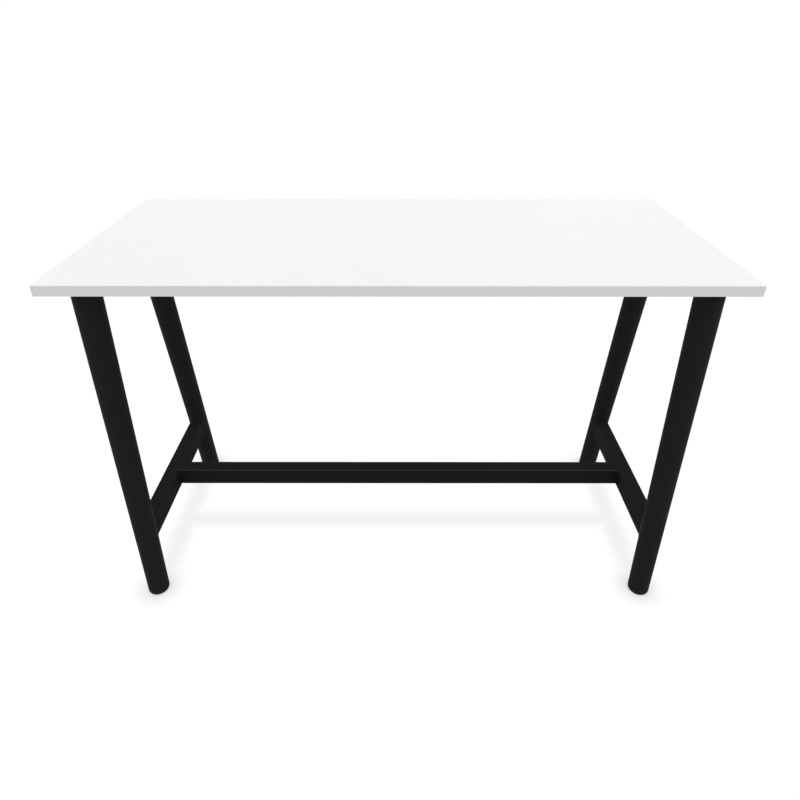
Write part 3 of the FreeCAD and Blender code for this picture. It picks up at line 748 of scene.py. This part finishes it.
def threaded_stud(node):
    """A right-hand thread: with f the fraction of z / pitch - angle / turn, the radius is the outer one
    less the depth times a trapezium of f, and no more than a cone allows at the two ends."""
    low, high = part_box(node)
    outer = (high.x - low.x) / 2
    height = np.linspace(low.z, high.z, int((high.z - low.z) / THREAD_PITCH * STEPS_PER_TURN))[:, None]
    angle = np.linspace(0, 2 * np.pi, ROUND_STEPS // 2, endpoint=False)[None]
    fraction = np.mod(height / THREAD_PITCH - angle / (2 * np.pi), 1)
    groove = np.clip(GROOVE_REACH - np.abs(fraction - 0.5) * GROOVE_SLOPE, 0, 1)
    room = np.minimum(height - low.z, high.z - height)
    radius = np.minimum(outer - THREAD_DEPTH * groove, outer - STUD_CHAMFER + room)
    level = np.broadcast_to(height, radius.shape)
    return np.stack([radius * np.cos(angle), radius * np.sin(angle), level], axis=-1) + [*axis_of(node), 0]


for end, side in CORNERS:
    node = f"{end}_{side}_glide_stud"
    thread = shell(threaded_stud(node))
    make_piece(f"{node}_thread", [thread], "zinc_steel", f"{end}_{side}_adjuster", stands_for=node)

# %% [markdown]
# The base is moulded round the stud's end. A person turns it with the fingers, so its rim is fluted, and
# the upper face is dished to save plastic. One profile holds the bore, the rim, the dish and the hub. The
# flutes are cut only where the profile is at the rim.

# %% Fluted glide bases
FLUTES = 36
FLUTE_DEPTH = 0.9 * MM
RIM_ROUNDING = 1 * MM
BASE_THICKNESS = 5 * MM
HUB_RADIUS = 13 * MM
PIVOT_BORE = 4.1 * MM
PIVOT_DEPTH = 5.5 * MM
STUD_SEAT = 8 * MM
STUD_BORE = 5.05 * MM
DISH_INSET = 3 * MM
DISH_SLOPE = 1 * MM
DISH_DEPTH = 0.6 * MM
HUB_FILLET = 1.5 * MM
HUB_ROUNDING = 1 * MM
SEAT_LEAD = 0.6 * MM


def glide_base(node):
    """Bore for the pivot, lower face, fluted rim, dished upper face, hub and the stud's seat."""
    low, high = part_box(node)
    radius = (high.x - low.x) / 2
    rim = radius - RIM_ROUNDING
    top = low.z + BASE_THICKNESS
    dished = top - DISH_DEPTH
    foot = HUB_RADIUS + HUB_FILLET
    inner = [(PIVOT_BORE, low.z + PIVOT_DEPTH), (PIVOT_BORE, low.z + EDGE_BREAK)]
    inner += [(PIVOT_BORE + EDGE_BREAK, low.z)]
    lower_rim = arc((rim, low.z + RIM_ROUNDING), RIM_ROUNDING, -90, 0)
    upper_rim = arc((rim, top - RIM_ROUNDING), RIM_ROUNDING, 0, 90)
    dish = [(rim - DISH_INSET, top), (rim - DISH_INSET - DISH_SLOPE, dished), (foot, dished)]
    hub_foot = arc((foot, dished + HUB_FILLET), HUB_FILLET, 270, 180)
    hub_head = arc((HUB_RADIUS - HUB_ROUNDING, high.z - HUB_ROUNDING), HUB_ROUNDING, 0, 90)
    seat = [(STUD_BORE + SEAT_LEAD, high.z), (STUD_BORE, high.z - SEAT_LEAD), (STUD_BORE, high.z - STUD_SEAT)]
    profile = np.array([*inner, *lower_rim, *upper_rim, *dish, *hub_foot, *hub_head, *seat])
    depth = np.where(profile[:, 0] > rim, FLUTE_DEPTH, 0.0)
    return turned(profile, axis_of(node), FLUTES, depth)


for end, side in CORNERS:
    node = f"{end}_{side}_glide_base"
    base = shell(glide_base(node))
    make_piece(f"{node}_fluted", [base], "black_plastic", f"{end}_{side}_adjuster", stands_for=node)

# %% [markdown]
# The sole is a nylon disc that stands on the floor. Its pin turns in the base, so the sole keeps still
# while the base is turned. Three round grooves in the lower face give grip. They are part of the profile,
# because a bump in the finish would not show at the edge.

# %% Ringed soles
SOLE_CHAMFER = 0.7 * MM
SOLE_THICKNESS = 2 * MM
SOLE_GROOVES = np.array([10, 15, 20]) * MM
GROOVE_WIDTH = 1.2 * MM
GROOVE_DEPTH = 0.4 * MM
PIVOT_RADIUS = 4 * MM
PIVOT_FILLET = 0.4 * MM
PIVOT_CHAMFER = 0.5 * MM
SOLE_MIDDLE = 5 * MM


def glide_sole(node):
    """Lower face with three round grooves for grip, bevelled edge, upper face and the pivot pin."""
    low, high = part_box(node)
    radius = (high.x - low.x) / 2
    top = low.z + SOLE_THICKNESS
    offsets = np.array([(-0.5, 0), (-0.3, 1), (0.3, 1), (0.5, 0)]) * [GROOVE_WIDTH, GROOVE_DEPTH]
    middles = np.stack([SOLE_GROOVES, np.full(len(SOLE_GROOVES), low.z)], axis=-1)
    grooves = (offsets[None] + middles[:, None]).reshape(-1, 2)
    edge = [(radius - SOLE_CHAMFER, low.z), (radius, low.z + SOLE_CHAMFER)]
    edge += [(radius, top - EDGE_BREAK), (radius - EDGE_BREAK, top)]
    pin = [(PIVOT_RADIUS + PIVOT_FILLET, top), (PIVOT_RADIUS, top + PIVOT_FILLET)]
    pin += [(PIVOT_RADIUS, high.z - PIVOT_CHAMFER), (PIVOT_RADIUS - PIVOT_CHAMFER, high.z)]
    return turned(np.array([(SOLE_MIDDLE, low.z), *grooves, *edge, *pin]), axis_of(node))


for end, side in CORNERS:
    node = f"{end}_{side}_glide_sole"
    sole = shell(glide_sole(node))
    make_piece(f"{node}_ringed", [sole], "black_nylon", f"{end}_{side}_sole", stands_for=node)

# %% [markdown]
# The bolts that join the side frames have round button heads with a six-sided socket. The same rings make
# them: circles up the shank and over the dome, then hexagons down into the socket. A hexagon is a circle
# whose radius is divided by the cosine of the angle from the nearest flat's middle.

# %% Button-head bolts
HEAD_RADIUS = 7 * MM
HEAD_HEIGHT = 4.4 * MM
HEAD_FLAT_RADIUS = 4.4 * MM
SOCKET_FLATS = 5 * MM
SOCKET_DEPTH = 2.8 * MM
SHANK_RADIUS = 4 * MM
SHANK_CHAMFER = 0.8 * MM
HEAD_RIM = 0.6 * MM
SOCKET_LEAD = 0.2 * MM
DOME_STEPS = 9
BOLT_STEPS = 72


def button_bolt(shank_length):
    """Rings of a bolt along +z: the head's seat is at z = 0, the shank below it, the dome above."""
    angle = np.linspace(0, 2 * np.pi, BOLT_STEPS, endpoint=False)
    lift = np.linspace(0, 1, DOME_STEPS)
    dome_radius = HEAD_FLAT_RADIUS + (HEAD_RADIUS - HEAD_FLAT_RADIUS) * np.cos(lift * np.pi / 2)
    dome_height = HEAD_RIM + (HEAD_HEIGHT - HEAD_RIM) * np.sin(lift * np.pi / 2)
    shank = [(SHANK_RADIUS - SHANK_CHAMFER, -shank_length), (SHANK_RADIUS, SHANK_CHAMFER - shank_length)]
    shank += [(SHANK_RADIUS, 0), (HEAD_RADIUS - EDGE_BREAK, 0), (HEAD_RADIUS, EDGE_BREAK)]
    circles = np.array([*shank, *zip(dome_radius, dome_height)])
    hexagon = SOCKET_FLATS / 2 / np.cos(np.mod(angle, np.pi / 3) - np.pi / 6)
    socket = [hexagon + SOCKET_LEAD, hexagon, hexagon]
    radius = np.concatenate([np.repeat(circles[:, :1], BOLT_STEPS, axis=1), socket])
    socket_height = [HEAD_HEIGHT, HEAD_HEIGHT - SOCKET_LEAD, HEAD_HEIGHT - SOCKET_DEPTH]
    height = np.concatenate([circles[:, 1], socket_height])
    level = np.repeat(height[:, None], BOLT_STEPS, axis=1)
    return np.stack([radius * np.cos(angle), radius * np.sin(angle), level], axis=-1)


def laid_along_x(rings, seat, towards):
    """Rings along +z set with their seat at a place and their head towards +x or -x."""
    x, y, z = np.moveaxis(rings, -1, 0)
    return np.stack([towards * z, y, x], axis=-1) + np.array(seat)


# %% [markdown]
# Two bolts one above the other hold each end of the stretcher. They go through the foot rail, whose outer
# face they show on, and reach a little past the stretcher's end. Their heights come from the measured
# bolts: the box round all four, less the radius of a head.

# %% Bolts of the stretcher
REACH_PAST_THE_END = 11 * MM
low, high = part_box("stretcher_bolts")
seat_x = high.x - HEAD_HEIGHT
bolt_rise = (high.z - low.z) / 2 - HEAD_RADIUS
stretcher_shank = seat_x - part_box("stretcher")[1].x + REACH_PAST_THE_END
stretcher_bolt = button_bolt(stretcher_shank)
heights = [(low.z + high.z) / 2 + up * bolt_rise for up in (-1, 1)]
bolts = [
    shell(laid_along_x(stretcher_bolt, (side * seat_x, 0, height), side))
    for side in SIDES.values()
    for height in heights
]
make_piece("stretcher_button_bolts", bolts, "black_steel", stands_for="stretcher_bolts")
print("stretcher bolts stand", round(2 * bolt_rise, 4), "m apart")

# %% [markdown]
# The beams hang between the crossbars, and two bolts on each plate go outwards into the crossbar. Their
# heads look at the middle of the table. The box round all eight gives how far a bolt lies from the middle
# of its plate.

# %% Bolts of the beams
low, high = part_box("beam_bolts")
plate_low, plate_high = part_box("rear_beam_right_plate")
plate_y, plate_z = (plate_low.y + plate_high.y) / 2, (plate_low.z + plate_high.z) / 2
from_plate_middle = high.y - HEAD_RADIUS - plate_y
beam_bolt = button_bolt(high.x - plate_low.x)
rows = [end * plate_y + step * from_plate_middle for end in ENDS.values() for step in (-1, 1)]
bolts = [
    shell(laid_along_x(beam_bolt, (side * plate_low.x, row, plate_z), -side))
    for side in SIDES.values()
    for row in rows
]
make_piece("beam_button_bolts", bolts, "black_steel", stands_for="beam_bolts")
print("beam bolts lie", round(from_plate_middle, 4), "m from the middle of their plate")

# %% [markdown]
# Plastic plugs close the crossbars' ends. The cap of a plug is a round-cornered rectangle that swells a
# little towards its middle. It is made of the same outline, drawn in step by step while it rises. Behind it
# the stopper has soft ribs that grip the tube.

# %% End plugs
PLUG_FLANGE = 3 * MM
PLUG_CORNER = 3 * MM
PLUG_SWELL = 0.6 * MM
PLUG_EDGE = 0.8 * MM
STOPPER_GAP = 2.2 * MM
STOPPER_DEPTH = 15 * MM
RIB_COUNT = 4
RIB_DEPTH = 0.5 * MM
RIB_STEPS = 6
EDGE_STEPS = 5
PLUG_STEP = 1 * MM
DOME = np.linspace(0.15, 0.9, 7)


def end_plug(end, side):
    """Outlines along y: each is the plug's outline scaled so that its sides move in by an inset.

    The ribs are a raised cosine along the stopper, the edge a quarter circle, and the dome a parabola."""
    low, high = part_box(f"{end}_{side}_crossbar_plug")
    width, height = high.x - low.x, high.z - low.z
    outline = round_rectangle(width, height, PLUG_CORNER, PLUG_STEP)
    ribs = np.linspace(0, 1, RIB_STEPS * RIB_COUNT)
    stopper_inset = STOPPER_GAP + RIB_DEPTH * (0.5 - 0.5 * np.cos(2 * np.pi * RIB_COUNT * ribs))
    stopper_out = -STOPPER_DEPTH * (1 - ribs)
    edge = np.linspace(0, np.pi / 2, EDGE_STEPS)
    edge_inset = PLUG_EDGE * (1 - np.cos(edge))
    edge_out = PLUG_FLANGE - PLUG_SWELL - PLUG_EDGE * (1 - np.sin(edge))
    dome_inset = PLUG_EDGE + (height / 2 - PLUG_EDGE) * DOME
    dome_out = PLUG_FLANGE - PLUG_SWELL * (1 - DOME) ** 2
    inset = np.concatenate([stopper_inset, edge_inset[:1], edge_inset, dome_inset])
    out = np.concatenate([stopper_out, [0], edge_out, dome_out])
    scale = 1 - 2 * inset[:, None] / [width, height]
    across = outline[None] * scale[:, None]
    seat_y = low.y + PLUG_FLANGE if ENDS[end] < 0 else high.y - PLUG_FLANGE
    level = np.repeat((seat_y + ENDS[end] * out)[:, None], len(outline), axis=1)
    middle = (low + high) / 2
    return np.stack([across[..., 0] + middle.x, level, across[..., 1] + middle.z], axis=-1)


for end, side in CORNERS:
    plug = shell(end_plug(end, side))
    make_piece(f"{end}_{side}_plug_domed", [plug], "black_plastic", stands_for=f"{end}_{side}_crossbar_plug")

# %% [markdown]
# The table stands alone on white. A closed bowl serves as floor, wall and ceiling, so that no line shows
# where they meet. It glows evenly but throws no light on the table: only the camera and the faint gloss of
# the finishes see it. A lit floor would be dimmed for a metre round the table. Instead the glowing floor is
# darkened by painted shadows, soft and only close under the feet and the low rails. Round the feet the
# painted shadow follows from how much of the near air is blocked. The rails are too high for that: few of the
# tested rays would meet them, and the floor would look grainy. So the painted shadow under a rail fades with
# the distance from its line.

# %% Stage
FLOOR_RADIUS = 7.0
FLOOR_RINGS = 36
INNER_RADIUS = 0.02
SHADOWED_RADIUS = 1.1
WALL_ROUNDING = 5.0
WALL_STEPS = 30
FLOOR_GLOW = 1.02
# Reach and depth of the painted shadows under the feet and under the rails.
FOOT_REACH = 0.07
FOOT_SHADOW_DEPTH = 0.7
RAIL_REACH = 0.073
RAIL_SHADOW_DEPTH = 0.135


def open_air(tree, reach):
    """The share of the air within reach metres above a point that nothing blocks."""
    air = tree.nodes.new("ShaderNodeAmbientOcclusion")
    air.inputs["Distance"].default_value = reach
    return air.outputs["AO"]


def from_line(tree, across, along, half_length):
    """Distance from a line of some half length: the root of across squared plus the square of what along
    has beyond the line's end."""
    past_end = calculate(tree, "MAXIMUM", calculate(tree, "SUBTRACT", along, half_length), 0)
    squares = [calculate(tree, "MULTIPLY", part, part) for part in (across, past_end)]
    return calculate(tree, "SQRT", calculate(tree, "ADD", *squares), 0)


def from_rails(tree, place):
    """Distance on the floor from the nearest of the two foot rails and the stretcher."""
    axes = tree.nodes.new("ShaderNodeSeparateXYZ")
    tree.links.new(place, axes.inputs["Vector"])
    x, y = (calculate(tree, "ABSOLUTE", axes.outputs[axis], 0) for axis in "XY")
    low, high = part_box("right_foot_rail")
    beside_rail = calculate(tree, "SUBTRACT", x, (low.x + high.x) / 2)
    rail = from_line(tree, beside_rail, y, high.y)
    return calculate(tree, "MINIMUM", rail, from_line(tree, y, x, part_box("stretcher")[1].x))


def glowing(name):
    """An evenly glowing white that takes no light."""
    material, tree, shader, place = new_finish(name)
    shader.inputs["Base Color"].default_value = (0, 0, 0, 1)
    shader.inputs["Specular IOR Level"].default_value = 0
    shader.inputs["Emission Color"].default_value = (1, 1, 1, 1)
    shader.inputs["Emission Strength"].default_value = FLOOR_GLOW
    return material, tree, shader, place


def floor_with_painted_shadows():
    """White less the darker of two painted shadows: what the feet block close by, and a band under each rail.
    """
    material, tree, shader, place = glowing("floor_with_painted_shadows")
    # Painted shadows: the glow is dimmed near the feet by the blocked air, and in a band along each rail by
    # the distance from it.
    by_feet = calculate(tree, "SUBTRACT", 1, open_air(tree, FOOT_REACH))
    foot_shadow = calculate(tree, "MULTIPLY", by_feet, FOOT_SHADOW_DEPTH)
    rail_shadow = spread(tree, from_rails(tree, place), RAIL_SHADOW_DEPTH, 0, 0, RAIL_REACH, "SMOOTHSTEP")
    white = calculate(tree, "SUBTRACT", 1, calculate(tree, "MAXIMUM", foot_shadow, rail_shadow))
    tree.links.new(calculate(tree, "MULTIPLY", white, FLOOR_GLOW), shader.inputs["Emission Strength"])
    return material


def stage_bowl():
    """A level disc, a wall and a ceiling: a line and half a circle carried round the middle.

    Its faces look inwards, and those within the shadowed radius of the middle take the painted shadows."""
    flat = np.stack([np.linspace(INNER_RADIUS, FLOOR_RADIUS, FLOOR_RINGS), np.zeros(FLOOR_RINGS)], axis=-1)
    rise = arc((FLOOR_RADIUS, WALL_ROUNDING), WALL_ROUNDING, -90, 90, WALL_STEPS)
    lid = [(INNER_RADIUS, 2 * WALL_ROUNDING)]
    points, quads, fans = shell(turned(np.concatenate([flat, rise[1:], lid]), (0, 0)))
    mesh = bpy.data.meshes.new("stage_bowl")
    mesh.from_pydata(points.tolist(), [], quads[:, ::-1].tolist() + fans[:, ::-1].tolist())
    mesh.polygons.foreach_set("use_smooth", np.ones(len(mesh.polygons), bool))
    mesh.materials.append(floor_with_painted_shadows())
    mesh.materials.append(glowing("plain_white")[0])
    centres = np.empty(len(mesh.polygons) * 3)
    mesh.polygons.foreach_get("center", centres)
    from_middle = np.linalg.norm(centres.reshape(-1, 3), axis=1)
    mesh.polygons.foreach_set("material_index", (from_middle > SHADOWED_RADIUS).astype(int))
    bowl = bpy.data.objects.new("stage_bowl", mesh)
    bowl.visible_diffuse = False
    bowl.visible_shadow = False
    bpy.context.scene.collection.objects.link(bowl)
    print("stage:", len(mesh.polygons), "faces,", int((from_middle <= SHADOWED_RADIUS).sum()), "of them marked")


stage_bowl()

# %% [markdown]
# Four soft boxes hang round the table, one for each side, and an even sky fills in. The top is then the
# brightest face, even from end to end, and the front edge is a shade darker. The boxes at the ends are the
# strongest. They reach in under the top, and show the low rails and the outer rims of the round legs. One
# large light overhead would be simpler, but everything under the top would turn to one flat black.

# %% Light
SKY_STRENGTH = 0.55
AIM = Vector((0, 0, 0.5))
SOFT_BOXES = {
    "front_box": {"size": (4.0, 2.0), "place": (0, -3.2, 2.8), "power": 24},
    "rear_box": {"size": (4.0, 2.0), "place": (0, 3.2, 2.8), "power": 18},
    "left_box": {"size": (3.0, 2.0), "place": (-3.0, 0, 3.0), "power": 40},
    "right_box": {"size": (3.0, 2.0), "place": (3.0, 0, 3.0), "power": 44},
}


def soft_box(name, size, place, power):
    """A rectangular light at a place in metres, turned to the middle of the table."""
    light = bpy.data.lights.new(name, "AREA")
    light.shape = "RECTANGLE"
    light.size, light.size_y = size
    light.energy = power
    lamp = bpy.data.objects.new(name, light)
    lamp.location = place
    lamp.rotation_euler = (Vector(place) - AIM).to_track_quat("Z", "Y").to_euler()
    lamp.visible_camera = False
    bpy.context.scene.collection.objects.link(lamp)


for name, box in SOFT_BOXES.items():
    soft_box(name, **box)

sky = bpy.data.worlds.new("even_sky")
sky.use_nodes = True
sky.node_tree.nodes["Background"].inputs["Color"].default_value = (1, 1, 1, 1)
sky.node_tree.nodes["Background"].inputs["Strength"].default_value = SKY_STRENGTH
bpy.context.scene.world = sky
bpy.context.scene.view_settings.view_transform = "Standard"
print("lights:", ", ".join(SOFT_BOXES))
